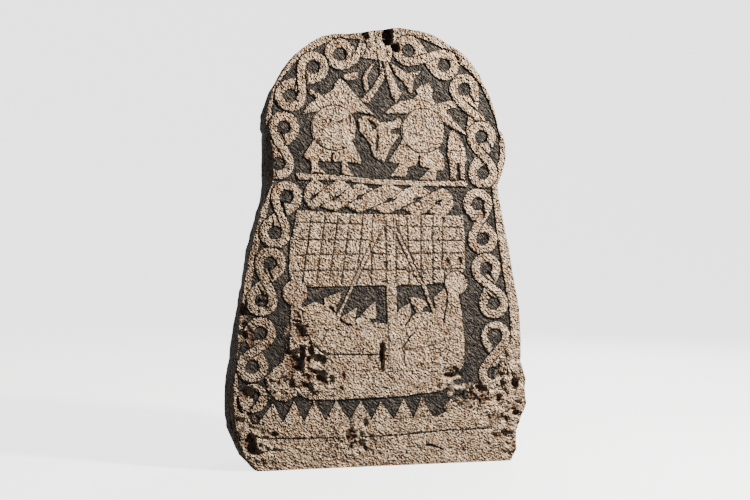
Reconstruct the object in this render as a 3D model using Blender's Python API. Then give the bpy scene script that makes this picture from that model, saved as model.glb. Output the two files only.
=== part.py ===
"""A picture stone: one carved slab of limestone, modelled in metres with +Z up.

The slab stands on its flat base at Z = 0, centred on the Z axis. The carved face looks along -Y, and +X
is the right hand of a reader. Every motif is a flat outline on that face. The outlines are laid over one
another in the order a mason would draw them: each one either cuts the ground back or stands at the full
height. Blender's constrained triangulation joins them into one sheet, and the standing areas are then
extruded off the ground.
"""

import math

import bmesh
import bpy
import numpy as np
from mathutils import Vector, noise
from mathutils.geometry import delaunay_2d_cdt

MM = 0.001

# Driving dimensions
THICKNESS = 190 * MM
RELIEF = 3 * MM  # height of the standing areas over the cut ground
LINE_DEPTH = 1.5 * MM
LINE_WIDTH = 3.2 * MM
SEED_OFFSET = Vector((3.7, 11.3, 5.9))
MERGE = 0.15 * MM
STRAIGHT_WITHIN = 0.9  # degrees: an outline's points that bend it less than this are left out
FRONT = -THICKNESS / 2  # the plane of the standing areas
GROUND = FRONT + RELIEF
STATES = ("stand", "cut", "line")

# The flanks behind the face: depth, share of the bulge, roughness
FLANK_RINGS = (
    (18 * MM, 0.5, 2 * MM), (70 * MM, 1.0, 6 * MM), (140 * MM, 0.9, 7 * MM), (176 * MM, 0.4, 5 * MM),
)
# The back is dressed roughly flat: share of the outline, how far the stone stands out there
BACK_RINGS = ((0.955, 0), (0.6, 4 * MM))
BACK_HEART = 560 * MM  # height of the point that the back's rings close in on

SOUND_BULGE = 5 * MM  # how far the flank stands out where the arris is whole
FULL_BULGE_FROM = 250 * MM  # nearer to the upright axis than this the flank stands out less
BULGE_FADE = 110 * MM  # height over which the broken left arris gives way to a whole one on the arch

# The arch over the neck is a superellipse.
ARCH_CENTRE = (14 * MM, 905 * MM)
ARCH_HALF_WIDTH = 334 * MM
ARCH_RISE = 328 * MM
ARCH_POWER = 2.3
ARCH_POINTS = 40

# Below the arch each edge follows a few stations: height, left and right edge of the carved face, and how
# far the flank bulges out behind the broken left arris.
FLANKS = (
    (0, -340, 388, 16), (34, -370, 404, 18), (75, -388, 404, 20), (115, -398, 414, 24), (160, -404, 433, 24),
    (200, -405, 429, 22), (236, -406, 431, 18), (283, -399, 416, 14), (346, -393, 416, 14),
    (395, -390, 413, 12), (437, -386, 411, 8), (491, -379, 401, 4), (546, -369, 390, 4), (610, -357, 380, 4),
    (664, -344, 369, 4), (716, -331, 358, 4), (759, -312, 349, 8), (792, -299, 345, 20), (826, -297, 360, 26),
    (873, -299, 371, 22), (905, -304, 369, 18), (940, -310, 361, 12),
)

# Worn places on the arch: where, how wide, how deep
ARCH_WEAR = ((-70, 1218, 75, 17), (18, 1232, 26, 3), (300, 1100, 70, 4), (-150, 1190, 30, -4))

# Knotwork ribbon
RING_OUTER = 44 * MM
RING_HOLE = 19.5 * MM
HOOK_OUTER = 40 * MM  # the last ring at the lower left
RIBBON = 23 * MM
CUT_GAP = 2.6 * MM  # the thin cut that parts a ribbon from what it passes over
CROWN_RIBBON = 22 * MM  # the loose end that rises to the crown
RING_SIDES = 16
HOLE_SIDES = 10
CROSSING_STEPS = 6

# Figures
SHIELD_RADIUS = 64 * MM
SHIELD_SIDES = 26
LEG_GAP = 5.5 * MM  # the cut that parts a warrior's legs

# Ship
CREW_GAP = 4.2 * MM  # the cut that parts one of the crew from the hull
MAST_LINE_WIDTH = 2.4 * MM
HALF_STAY = 7  # a stay's two outlines stand this far from its middle, in millimetres

# Places where the face has flaked or broken away: centre, half width, half height and depth in millimetres
CHIPS = (
    (24, 1209, 18, 30, 24), (47, 1174, 14, 17, 15), (-40, 1206, 13, 16, 9), (-222, 380, 24, 26, 9),
    (-240, 305, 40, 50, 7), (-180, 300, 40, 22, 7), (-170, 246, 50, 22, 6), (-265, 240, 34, 22, 6),
    (9, 305, 9, 52, 12), (213, 246, 38, 16, 9), (282, 205, 30, 26, 8), (-384, 440, 18, 26, 11),
    (-384, 372, 20, 24, 9), (-366, 210, 24, 26, 7), (-360, 74, 20, 36, 8), (396, 218, 14, 20, 8),
)
CHIP_REACH = 1.7  # a chip's lump is this many times as deep as the chip, so that it ends in a shallow bowl
CHIP_LUMPS = 0.28
CHIP_GRAIN = 1.3


def mm(*pairs):
    return [Vector((x * MM, z * MM)) for x, z in pairs]


def superellipse(angle):
    """A point of the arch, where angle 0 is its right end and pi its left end."""
    cosine, sine = math.cos(angle), math.sin(angle)
    across = math.copysign(abs(cosine) ** (2 / ARCH_POWER), cosine)
    return Vector(
        (
            ARCH_CENTRE[0] + ARCH_HALF_WIDTH * across,
            ARCH_CENTRE[1] + ARCH_RISE * abs(sine) ** (2 / ARCH_POWER),
        )
    )


def roughness(point, scale, amount, layer=0.0):
    """Smooth seeded noise in [-amount, amount] at a point of the face."""
    place = Vector((point[0], layer, point[1])) / scale + SEED_OFFSET
    return amount * noise.noise(place)


def arch():
    """The arch from right to left, evenly spaced, with a worn and slightly uneven line."""
    steps = [superellipse(math.pi * i / 400) for i in range(401)]
    steps = [p for p in steps if p.y > (FLANKS[-1][0] + 12) * MM]
    along = np.concatenate([[0], np.cumsum([(b - a).length for a, b in zip(steps, steps[1:])])])
    wanted = np.linspace(0, along[-1], ARCH_POINTS + 1)
    picks = [steps[i] for i in np.interp(wanted, along, range(len(steps))).round().astype(int)]
    centre = Vector(ARCH_CENTRE)
    worn = []
    for p in picks:
        loss = roughness(p, 55 * MM, 5 * MM)
        for x, z, width, depth in ARCH_WEAR:
            loss += depth * MM * math.exp(-(((p - Vector((x, z)) * MM).length / (width * MM)) ** 2))
        worn.append(p - (p - centre).normalized() * loss)
    return worn


def outline():
    """The carved face's own outline, anticlockwise from the right foot."""
    right = mm(*[(r, z) for z, _, r, _ in FLANKS])
    left = mm(*[(l, z) for z, l, _, _ in reversed(FLANKS)])
    foot = mm((-250, 0), (-120, 0), (10, 0), (140, 0), (270, 0))
    return right + arch() + left + foot


def disc(centre, radius, sides=RING_SIDES):
    angles = [2 * math.pi * i / sides for i in range(sides)]
    return [centre + Vector((math.cos(a), math.sin(a))) * radius for a in angles]


def spline(points, steps, closed=False):
    """A Catmull-Rom curve through the points."""
    count = len(points)
    result = []
    for i in range(count if closed else count - 1):
        if closed:
            a, b, c, d = (points[(i + k) % count] for k in (-1, 0, 1, 2))
        else:
            a, b, c, d = (points[min(max(i + k, 0), count - 1)] for k in (-1, 0, 1, 2))
        bend = 2 * a - 5 * b + 4 * c - d
        twist = 3 * b - a - 3 * c + d
        for s in range(steps):
            t = s / steps
            result.append((2 * b + (c - a) * t + bend * t**2 + twist * t**3) / 2)
    return result if closed else result + [points[-1]]


def strip(path, width):
    """A ribbon of the given width along an open path, as one closed outline."""
    left, right = [], []
    last = len(path) - 1
    for i, point in enumerate(path):
        along = (path[min(i + 1, last)] - path[max(i - 1, 0)]).normalized()
        side = Vector((-along.y, along.x)) * width / 2
        left.append(point + side)
        right.append(point - side)
    return left + right[::-1]


class Face:
    """The drawing of the carved face: outlines in the order they are laid down."""

    def __init__(self):
        self.shapes = []

    def cut(self, *shapes):
        self.shapes += [(shape, "cut") for shape in shapes]

    def stand(self, *shapes):
        self.shapes += [(shape, "stand") for shape in shapes]

    def line(self, *paths, width=LINE_WIDTH):
        self.shapes += [(strip(path, width), "line") for path in paths]


def crossing(first, second, side, reach):
    """The path of a ribbon that leaves one ring on one side and joins the next on the other."""
    along = second - first
    across = Vector((-along.y, along.x)).normalized() * side * reach
    path = []
    for i in range(CROSSING_STEPS + 1):
        t = i / CROSSING_STEPS
        swing = 1 - 2 * t * t * (3 - 2 * t)
        path.append(first + along * t - across * swing)
    return path


def rings(face, *centres, outer=RING_OUTER, hole=RING_HOLE):
    """Rings of the ribbon, each parted from what was drawn before by a thin cut."""
    for centre in centres:
        face.cut(disc(centre, outer + CUT_GAP))
    for centre in centres:
        face.stand(disc(centre, outer))
    return [disc(centre, hole, HOLE_SIDES) for centre in centres]


def figure_eight(face, first, second, side=1, outer=RING_OUTER, hole=RING_HOLE):
    """Two rings tied by a crossing: one ribbon passes under, the other over it."""
    reach = (outer + hole) / 2
    holes = rings(face, first, second, outer=outer, hole=hole)
    face.stand(strip(crossing(first, second, -side, reach), RIBBON))
    face.cut(*holes)
    over = crossing(first, second, side, reach)
    face.cut(strip(over[1:-1], RIBBON + 2 * CUT_GAP))
    face.stand(strip(over, RIBBON))


def knot_border(face):
    """The knotwork that climbs both edges and meets under the broken crown."""
    left = {
        "A": (-112, 1151), "B": (-188, 1112), "C": (-251, 1031), "D": (-269, 943), "E": (-284, 843),
        "F": (-261, 752), "G": (-293, 653), "H": (-306, 569), "I": (-329, 467), "J": (-333, 378),
        "K": (-355, 286), "L": (-352, 200),
    }
    right = {
        "A": (82, 1168), "B": (187, 1131), "C": (246, 1064), "D": (297, 930), "E": (302, 826),
        "F": (286, 738), "G": (301, 637), "H": (311, 553), "I": (334, 452), "J": (340, 357), "K": (333, 252),
    }
    left = {name: Vector(place) * MM for name, place in left.items()}
    right = {name: Vector(place) * MM for name, place in right.items()}

    ring_a = rings(face, left["A"])
    rising = mm((-100, 1119), (-72, 1136), (-55, 1160), (-44, 1192))
    face.cut(strip(rising[1:], CROWN_RIBBON + 2 * CUT_GAP))
    face.stand(strip(rising, CROWN_RIBBON))
    face.cut(*ring_a)
    figure_eight(face, left["B"], left["C"])
    figure_eight(face, left["D"], left["E"])
    figure_eight(face, left["F"], left["G"])
    figure_eight(face, left["H"], left["I"])
    figure_eight(face, left["J"], left["K"], side=-1)
    rings(face, left["L"], outer=HOOK_OUTER)
    face.cut(
        mm(
            (-358, 218), (-347, 220), (-336, 216), (-334, 208), (-342, 190), (-348, 183), (-362, 166),
            (-366, 169), (-354, 184), (-351, 192), (-352, 202),
        ),
        mm(
            (-398, 208), (-392, 208), (-391, 188), (-384, 171), (-379, 160), (-385, 159), (-392, 171),
            (-398, 190),
        ),
    )

    figure_eight(face, right["A"], right["B"])
    figure_eight(face, right["C"], right["D"])
    figure_eight(face, right["D"], right["E"])
    figure_eight(face, right["F"], right["G"], side=-1)
    figure_eight(face, right["H"], right["I"])
    figure_eight(face, right["J"], right["K"], side=-1)
    face.cut(
        mm(
            (314, 362), (318, 373), (326, 380), (345, 380), (355, 374), (361, 364), (357, 350), (341, 328),
            (323, 309), (320, 311), (333, 326), (328, 335), (316, 353),
        )
    )


def fields(face):
    """The cut grounds, with the standing rim left around them."""
    face.cut(
        mm(
            (-303, 990), (-296, 1035), (-270, 1085), (-222, 1140), (-160, 1178), (-110, 1196), (-60, 1195),
            (-60, 1145), (30, 1134), (52, 1205), (120, 1205), (185, 1178), (232, 1140), (270, 1108),
            (297, 1076), (325, 1020), (345, 965), (352, 930), (353, 870), (345, 850), (328, 800), (332, 749),
            (345, 650), (366, 520), (378, 462), (386, 376), (372, 345), (330, 250), (320, 190), (157, 133),
            (-355, 128), (-392, 210), (-398, 300), (-392, 330), (-372, 440), (-356, 520), (-337, 620),
            (-318, 690), (-306, 750), (-296, 790), (-296, 880),
        )
    )


def teeth(face):
    """The row of points that stands along the lower edge of the field."""
    apexes = (-298, -240, -185, -123, -53, 3, 70, 121)
    valleys = (-338, -271, -213, -152, -85, -22, 40, 98, 157)
    apex_height, valley_height, foot_height = 186, 131, 118
    row = [(valleys[0], foot_height)]
    for i, apex in enumerate(apexes):
        row += [(valleys[i], valley_height), (apex, apex_height + 4 * math.sin(i))]
    row += [(valleys[-1], valley_height), (valleys[-1], foot_height)]
    face.stand(mm(*row))
    face.stand(mm((185, 158), (208, 182), (238, 158), (210, 128)))


def warrior_left(face):
    """A helmeted figure in profile behind a round shield, walking right."""
    face.stand(
        mm(
            (-129, 1054), (-128, 1068), (-112, 1083), (-99, 1074), (-84, 1056), (-62, 1032), (-16, 985),
            (-40, 989), (-75, 989), (-90, 960), (-175, 960), (-177, 990), (-221, 980), (-203, 1006),
            (-178, 1026), (-200, 1039), (-202, 1053), (-168, 1039), (-152, 1036), (-140, 1046),
        ),
        mm((-109, 1088), (-90, 1098), (-61, 1103), (-61, 1084), (-92, 1078)),
        mm(
            (-185, 912), (-200, 890), (-215, 865), (-193, 850), (-194, 821), (-151, 818), (-174, 838),
            (-174, 853), (-107, 850), (-109, 817), (-70, 812), (-90, 836), (-90, 851), (-53, 847),
            (-53, 858), (-66, 888), (-81, 914),
        ),
    )
    shield(face, Vector((-129, 946)) * MM)
    face.cut(strip(mm((-133, 878), (-137, 850)), LEG_GAP))


def warrior_right(face):
    """A bearded figure in profile behind a round shield, facing left, with a blade at the belt."""
    face.stand(
        mm(
            (108, 1062), (120, 1071), (144, 1080), (151, 1068), (154, 1055), (151, 1038), (163, 1020),
            (190, 1027), (210, 1033), (231, 1014), (204, 1008), (193, 1003), (228, 962), (248, 943),
            (251, 933), (212, 952), (184, 970), (150, 960), (80, 960), (90, 990), (13, 990), (36, 1009),
            (60, 1025), (90, 1030), (112, 1045), (103, 1056),
        ),
        mm(
            (67, 918), (46, 884), (24, 853), (59, 849), (33, 813), (76, 812), (82, 840), (105, 846),
            (117, 860), (117, 843), (146, 836), (114, 804), (163, 804), (166, 830), (184, 834),
            (191, 853), (178, 886), (162, 900), (120, 930),
        ),
    )
    shield(face, Vector((126, 944)) * MM)
    face.cut(strip(mm((116, 874), (114, 858), (112, 836)), LEG_GAP))


def shield(face, centre):
    """A round shield, with a thin cut under its lower rim where it passes in front of the legs."""
    rim = disc(centre, SHIELD_RADIUS, SHIELD_SIDES)
    face.stand(rim)
    face.line(rim[SHIELD_SIDES * 3 // 5 : SHIELD_SIDES * 9 // 10])


def attendant(face):
    """The slight standing figure at the right of the upper field."""
    face.stand(
        mm(
            (213, 948), (199, 934), (195, 876), (201, 858), (206, 806), (225, 805), (223, 853), (231, 853),
            (235, 808), (248, 806), (248, 857), (255, 862), (247, 900), (229, 934),
        )
    )


def blades(face):
    """Four pointed shapes that fan out below the crown, and the small bird among them."""
    curled = mm((-12, 1134), (-40, 1106), (-49, 1080), (-40, 1048), (-31, 1058), (-36, 1086), (-24, 1112))
    face.stand(
        spline(curled, 2, closed=True),
        mm((2, 1136), (12, 1112), (15, 1088), (-10, 1048), (-33, 1017), (-56, 1022), (-24, 1056), (0, 1094)),
        mm((12, 1136), (26, 1132), (42, 1086), (63, 1048), (48, 1020), (36, 1032), (27, 1072), (16, 1098)),
        mm(
            (30, 1132), (64, 1114), (79, 1103), (120, 1113), (97, 1086), (94, 1050), (88, 1047), (67, 1080),
            (44, 1102),
        ),
    )


def beast(face):
    """The forked creature between the two warriors."""
    face.stand(
        mm(
            (-61, 968), (-50, 981), (-34, 981), (-18, 977), (-5, 971), (2, 964), (36, 967), (46, 971),
            (51, 977), (61, 976), (63, 966), (57, 949), (34, 945), (32, 938), (34, 931), (60, 934),
            (28, 888), (13, 851), (-4, 858), (-18, 869), (-31, 908), (-56, 938),
        )
    )
    face.cut(mm((-37, 976), (-28, 971), (-9, 955), (-9, 943), (-20, 943), (-26, 957)))
    face.cut(mm((-9, 934), (-1, 926), (-5, 882), (-12, 884)))


def upper_band(face):
    """The plain bar under the upper field."""
    face.stand(
        mm(
            (-236, 818), (-112, 814), (-27, 805), (117, 801), (256, 803), (256, 786), (88, 788), (-13, 790),
            (-98, 798), (-232, 800),
        )
    )


def plait(face):
    """The horizontal twist: one wavy band, parted by slanting cuts that run from a lower notch, through a
    small slit, to the next upper notch."""
    crests = ((-182, 801), (-112, 801), (-52, 792), (25, 791), (110, 790), (184, 781))
    troughs = ((-190, 718), (-127, 714), (-60, 710), (20, 707), (105, 702), (175, 700))
    upper_notches = ((-148, 784), (-79, 785), (-16, 776), (69, 777), (153, 771))
    lower_notches = ((-170, 728), (-101, 728), (-26, 722), (60, 722), (136, 713))
    slits = ((-186, 754), (-124, 751), (-57, 754), (26, 746), (112, 747), (172, 742))
    top = [(-208, 780)]
    for i, crest in enumerate(crests):
        top += [crest] + list(upper_notches[i : i + 1])
    foot = [(206, 718)]
    for i in reversed(range(len(troughs))):
        foot += [troughs[i]] + list(lower_notches[i - 1 : i] if i else [])
    face.stand(spline(mm(*top, (210, 762), (214, 742), *foot, (-213, 745)), 3, closed=True))
    for i, lower in enumerate(lower_notches):
        last = upper_notches[i + 1] if i + 1 < len(upper_notches) else slits[i + 1]
        face.cut(strip(spline(mm(lower, slits[i + 1], last), 2), CUT_GAP))
    face.cut(strip(mm(slits[0], upper_notches[0]), CUT_GAP))
    for x, z in slits:
        face.cut(mm((x - 13, z - 9), (x - 2, z + 5), (x + 13, z + 9), (x + 2, z - 6)))


def sail(face):
    """The checked sail on its yard."""
    face.stand(
        mm(
            (-232, 716), (-80, 707), (110, 705), (243, 703), (248, 640), (248, 552), (226, 514), (181, 512),
            (117, 506), (-78, 506), (-202, 504), (-251, 521), (-254, 551), (-251, 634), (-243, 650),
        )
    )


def sail_lines(face):
    """The net over the sail, the mast and the stays in front of it, as thin cuts that stop just short of
    its edges."""
    top, foot = 701, 511
    tops = (-193, -154, -118, -84, -47, -22, 79, 119, 154, 183)
    feet = (-218, -179, -143, -109, -67, -24, 85, 119, 154, 179)
    for high, low in zip(tops, feet):
        face.line(mm((high, top), (low, foot)))
    for left_height, right_height in ((683, 669), (634, 632), (592, 597), (548, 552)):
        face.line(mm((-230, left_height), (240, right_height)))
    for shift in (-HALF_STAY, HALF_STAY):
        face.line(mm((4 + shift, 674), (-75 + shift, foot)), mm((39 + shift, 678), (120 + shift, foot)))
    face.line(mm((18, 690), (18, foot)), mm((47, 690), (47, foot)), width=MAST_LINE_WIDTH)


def ground_line(face):
    """The long uneven line across the plain foot of the stone, and the strake along the hull."""
    face.line(mm((-352, 97), (-328, 89), (-224, 85), (-84, 82), (59, 85), (204, 94), (330, 94)))
    face.line(mm((-213, 396), (-190, 349), (-166, 324), (-140, 315), (-4, 312)))


def ship(face):
    """The hull with its curled stem and stern, the crew, the mast and the two stays."""
    face.stand(
        mm(
            (-249, 460), (-221, 460), (-218, 446), (-182, 462), (-149, 449), (-126, 430), (-116, 414),
            (-73, 405), (-53, 422), (-30, 414), (-24, 404), (24, 398), (50, 408), (88, 410), (97, 420),
            (120, 435), (156, 426), (190, 460), (199, 500), (222, 482), (229, 478), (236, 448), (242, 406),
            (248, 335), (246, 287), (226, 243), (187, 209), (160, 203), (59, 193), (-112, 189), (-190, 191),
            (-229, 206), (-262, 188), (-290, 194), (-312, 220), (-320, 255), (-293, 282), (-253, 312),
            (-250, 380),
        ),
        disc(Vector((-238, 487)) * MM, 35 * MM),
        disc(Vector((221, 512)) * MM, 35 * MM),
    )
    crew(face)
    face.stand(
        mm(
            (-78, 512), (-98, 467), (-108, 449), (-126, 416), (-113, 412), (-100, 449), (-91, 469),
            (-69, 512),
        ),
        mm(
            (119, 516), (132, 479), (138, 466), (147, 446), (154, 424), (167, 424), (157, 444), (147, 465),
            (142, 479), (131, 516),
        ),
        mm((20, 520), (49, 520), (50, 390), (24, 390), (21, 450)),
    )


def crew(face):
    """Six pointed figures along the gunwale. A cut parts three of them from the hull and the stern."""
    face.stand(
        mm(
            (-157, 472), (-130, 482), (-108, 490), (-111, 470), (-119, 456), (-124, 432), (-129, 441),
            (-137, 450), (-155, 440),
        ),
        mm((-108, 404), (-109, 418), (-64, 445), (-68, 420), (-73, 404), (-76, 396)),
        mm((-56, 408), (-53, 424), (-41, 435), (-11, 463), (-9, 413), (-24, 413), (-32, 402)),
        mm((46, 404), (46, 421), (60, 441), (88, 455), (90, 424), (88, 404)),
        mm(
            (86, 472), (107, 472), (121, 467), (131, 463), (137, 456), (141, 448), (126, 443), (124, 430),
            (110, 422), (106, 429), (91, 456),
        ),
        mm((156, 468), (187, 496), (198, 488), (198, 430), (170, 416), (164, 430), (162, 440), (159, 456)),
    )
    for path in (
        ((-112, 420), (-105, 406), (-93, 399), (-79, 396)),
        ((91, 424), (88, 411), (81, 402), (75, 394)),
        ((187, 501), (196, 486), (196, 455), (191, 430), (186, 402)),
    ):
        face.cut(strip(mm(*path), CREW_GAP))


def carved_face():
    face = Face()
    fields(face)
    teeth(face)
    upper_band(face)
    blades(face)
    attendant(face)
    beast(face)
    warrior_left(face)
    warrior_right(face)
    plait(face)
    sail(face)
    ship(face)
    knot_border(face)
    sail_lines(face)
    ground_line(face)
    return face


def anticlockwise(shape):
    """The outline turned the way that the triangulation takes for its inside."""
    turned = sum(a.x * b.y - b.x * a.y for a, b in zip(shape, shape[1:] + shape[:1]))
    return shape if turned > 0 else shape[::-1]


def state(face):
    return STATES[face.material_index]


def part_pinches(bm, low, high):
    """Two high areas that meet only at a corner would share an upright edge, so the corner is made low."""
    while True:
        pinched = set()
        for vert in bm.verts:
            ends = sum(1 for e in vert.link_edges if len({state(f) in high for f in e.link_faces}) == 2)
            if ends > (1 if vert.is_boundary else 2):
                pinched.update(vert.link_faces)
        if not pinched:
            return
        for face in pinched:
            face.material_index = STATES.index(low)


def free_lines(bm):
    """A thin cut that runs out into the ground is closed there, so that it sinks into standing stone only."""
    for face in [f for f in bm.faces if state(f) == "line"]:
        if any(state(other) == "cut" for vert in face.verts for other in vert.link_faces):
            face.material_index = STATES.index("stand")


def sheet(face, border):
    """A flat triangulation of the whole face. Each face's material says how the last outline left it."""
    points, loops = [], []
    for shape in [anticlockwise(shape) for shape in [border] + [shape for shape, _ in face.shapes]]:
        loops.append(list(range(len(points), len(points) + len(shape))))
        points += shape
    verts, _, triangles, _, _, sources = delaunay_2d_cdt(points, [], loops, 1, MERGE)
    bm = bmesh.new()
    placed = [bm.verts.new((v.x, GROUND, v.y)) for v in verts]
    for triangle, source in zip(triangles, sources):
        if 0 not in source:
            continue
        made = bm.faces.new([placed[i] for i in triangle])
        last = max(source)
        made.material_index = STATES.index(face.shapes[last - 1][1]) if last else STATES.index("stand")
    bmesh.ops.delete(bm, geom=[v for v in bm.verts if not v.link_faces], context="VERTS")
    for face in bm.faces:
        face.normal_update()
    bmesh.ops.reverse_faces(bm, faces=[face for face in bm.faces if face.normal.y > 0])
    part_pinches(bm, "cut", {"stand", "line"})
    free_lines(bm)
    part_pinches(bm, "stand", {"line"})
    bmesh.ops.dissolve_limit(
        bm, angle_limit=math.radians(STRAIGHT_WITHIN), verts=bm.verts, edges=bm.edges, delimit={"MATERIAL"}
    )
    bmesh.ops.triangulate(bm, faces=bm.faces, quad_method="BEAUTY", ngon_method="BEAUTY")
    return bm


def bulge(point):
    """How far the flank stands out behind the carved face at this point of its outline."""
    if point.x > 0:
        return SOUND_BULGE
    heights = [row[0] * MM for row in FLANKS] + [FLANKS[-1][0] * MM + BULGE_FADE]
    bulges = [row[3] * MM for row in FLANKS] + [SOUND_BULGE]
    return float(np.interp(point.y, heights, bulges))


def outward(point):
    """Away from the slab's upright axis, and away from the arch's centre above it."""
    heart = Vector((0, min(point.y, ARCH_CENTRE[1])))
    away = point - heart
    return away.normalized() * min(1, away.length / FULL_BULGE_FROM)


def flank_ring(bm, home, depth, share, rough):
    """Extrudes the open border of the sheet back to a depth, standing out and roughened as the flank does."""
    border = [edge for edge in bm.edges if edge.is_boundary]
    made = bmesh.ops.extrude_edge_only(bm, edges=border)["geom"]
    for vert in (g for g in made if isinstance(g, bmesh.types.BMVert)):
        start = vert[home]
        point = Vector((start.x, start.z))
        away = outward(point)
        reach = bulge(point) * share + roughness(point, 45 * MM, rough, depth)
        vert.co.x = start.x + away.x * reach
        vert.co.z = start.z + away.y * reach if start.z > MERGE else 0
        vert.co.y = FRONT + depth + roughness(point, 60 * MM, rough / 2, depth + 1)


def back_ring(bm, home, share, rise, keep_foot):
    """Extrudes the open border inwards across the back. The first ring keeps its foot on the base."""
    border = [edge for edge in bm.edges if edge.is_boundary]
    made = bmesh.ops.extrude_edge_only(bm, edges=border)["geom"]
    for vert in (g for g in made if isinstance(g, bmesh.types.BMVert)):
        start = vert[home]
        vert.co.x = start.x * share
        vert.co.z = 0 if keep_foot and start.z < MERGE else BACK_HEART + (start.z - BACK_HEART) * share
        vert.co.y = FRONT + THICKNESS + rise + roughness((vert.co.x, vert.co.z), 130 * MM, 5 * MM, 9)


def give_thickness(bm):
    home = bm.verts.layers.float_vector.new("home")
    for vert in bm.verts:
        vert[home] = vert.co
    for depth, share, rough in FLANK_RINGS:
        flank_ring(bm, home, depth, share, rough)
    for i, (share, rise) in enumerate(BACK_RINGS):
        back_ring(bm, home, share, rise, keep_foot=i == 0)
    border = [edge for edge in bm.edges if edge.is_boundary]
    bmesh.ops.contextual_create(bm, geom=border)
    bmesh.ops.recalc_face_normals(bm, faces=bm.faces)


def raise_relief(bm):
    """Extrudes the standing areas off the ground, then sinks the thin cuts into them."""
    for chosen, move in (({"stand", "line"}, -RELIEF), ({"line"}, LINE_DEPTH)):
        faces = [f for f in bm.faces if f.normal.y < -0.99 and state(f) in chosen]
        made = bmesh.ops.extrude_face_region(bm, geom=faces)["geom"]
        moved = [g for g in made if isinstance(g, bmesh.types.BMVert)]
        bmesh.ops.delete(bm, geom=faces, context="FACES")
        bmesh.ops.translate(bm, verts=moved, vec=(0, move, 0))
        bmesh.ops.recalc_face_normals(bm, faces=bm.faces)


def stone_material():
    stone = bpy.data.materials.new("buff_limestone")
    stone.use_nodes = True
    shader = stone.node_tree.nodes["Principled BSDF"]
    shader.inputs["Base Color"].default_value = (0.52, 0.42, 0.34, 1)
    shader.inputs["Roughness"].default_value = 0.9
    shader.inputs["Metallic"].default_value = 0
    return stone


def chip_cutters(collection):
    """Rough lumps that take the broken places out of the carved face."""
    for i, (x, z, half_width, half_height, depth) in enumerate(CHIPS):
        bm = bmesh.new()
        bmesh.ops.create_icosphere(bm, subdivisions=2, radius=1)
        for vert in bm.verts:
            vert.co *= 1 + CHIP_LUMPS * noise.noise(vert.co * CHIP_GRAIN + SEED_OFFSET * (i + 1))
        reach = depth * CHIP_REACH
        bmesh.ops.scale(bm, verts=bm.verts, vec=Vector((half_width, reach, half_height)) * MM)
        bmesh.ops.translate(bm, verts=bm.verts, vec=(x * MM, FRONT + (depth - reach) * MM, z * MM))
        mesh = bpy.data.meshes.new(f"chip_{i:02d}")
        bm.to_mesh(mesh)
        bm.free()
        cutter = bpy.data.objects.new(mesh.name, mesh)
        cutter.hide_render = True
        cutter.display_type = "WIRE"
        collection.objects.link(cutter)


def main():
    for obj in list(bpy.data.objects):
        bpy.data.objects.remove(obj)
    parts = bpy.data.collections.new("picture stone")
    cutters = bpy.data.collections.new("cutters")
    for collection in (parts, cutters):
        bpy.context.scene.collection.children.link(collection)
    cutters.hide_render = True

    bm = sheet(carved_face(), outline())
    give_thickness(bm)
    raise_relief(bm)
    for face in bm.faces:
        face.material_index = 0
    bmesh.ops.triangulate(bm, faces=bm.faces, quad_method="BEAUTY", ngon_method="BEAUTY")
    mesh = bpy.data.meshes.new("picture_stone")
    bm.to_mesh(mesh)
    bm.free()
    mesh.materials.append(stone_material())
    stone = bpy.data.objects.new("picture_stone", mesh)
    parts.objects.link(stone)

    chip_cutters(cutters)
    chips = stone.modifiers.new("broken places", "BOOLEAN")
    chips.operation = "DIFFERENCE"
    chips.solver = "EXACT"
    chips.operand_type = "COLLECTION"
    chips.collection = cutters
    bpy.context.view_layer.update()


if __name__ == "__main__":
    main()
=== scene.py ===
# %% [markdown]
# # A carved picture stone
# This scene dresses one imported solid: a slab of limestone with a mushroom outline, carved on one side. The
# solid already has the true outline, the knotwork, the figures and the ship. What it lacks is the skin of
# the stone: pits, worn edges, rough breaks, and the dark paint that fills the cut ground.

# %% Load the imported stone
import math

import bmesh
import bpy
import mathutils
import numpy as np
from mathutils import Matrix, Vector, kdtree, noise


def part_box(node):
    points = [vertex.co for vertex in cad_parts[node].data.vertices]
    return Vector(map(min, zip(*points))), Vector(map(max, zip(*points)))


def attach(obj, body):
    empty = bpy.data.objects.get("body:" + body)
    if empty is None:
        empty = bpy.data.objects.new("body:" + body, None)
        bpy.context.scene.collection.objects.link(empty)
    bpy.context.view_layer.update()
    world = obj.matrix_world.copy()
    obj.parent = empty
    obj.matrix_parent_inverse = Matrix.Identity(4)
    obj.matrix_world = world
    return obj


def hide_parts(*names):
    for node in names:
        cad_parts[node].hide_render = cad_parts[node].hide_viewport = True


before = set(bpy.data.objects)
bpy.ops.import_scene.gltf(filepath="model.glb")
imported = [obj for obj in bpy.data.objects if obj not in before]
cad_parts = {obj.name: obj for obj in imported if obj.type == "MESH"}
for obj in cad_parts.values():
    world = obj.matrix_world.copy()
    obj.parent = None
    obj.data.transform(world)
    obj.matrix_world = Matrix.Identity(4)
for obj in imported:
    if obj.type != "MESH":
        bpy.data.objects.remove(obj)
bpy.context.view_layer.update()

MM = 0.001
NODE = "picture_stone"
low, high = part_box(NODE)
print("slab", [round(side / MM) for side in high - low], "mm")

# %% [markdown]
# ## The camera first
# The stone is seen from a little to its left and from half its height, through a lens of moderate length.
# Placing the camera first means that every later look is the look that counts.

# %% Camera
FRONT = low.y
CAMERA_DISTANCE = 2.7
CAMERA_TURN = math.radians(11)
CAMERA_HEIGHT = 0.606
CAMERA_AIM_X = -0.013
LENS_MM = 46.3

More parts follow.
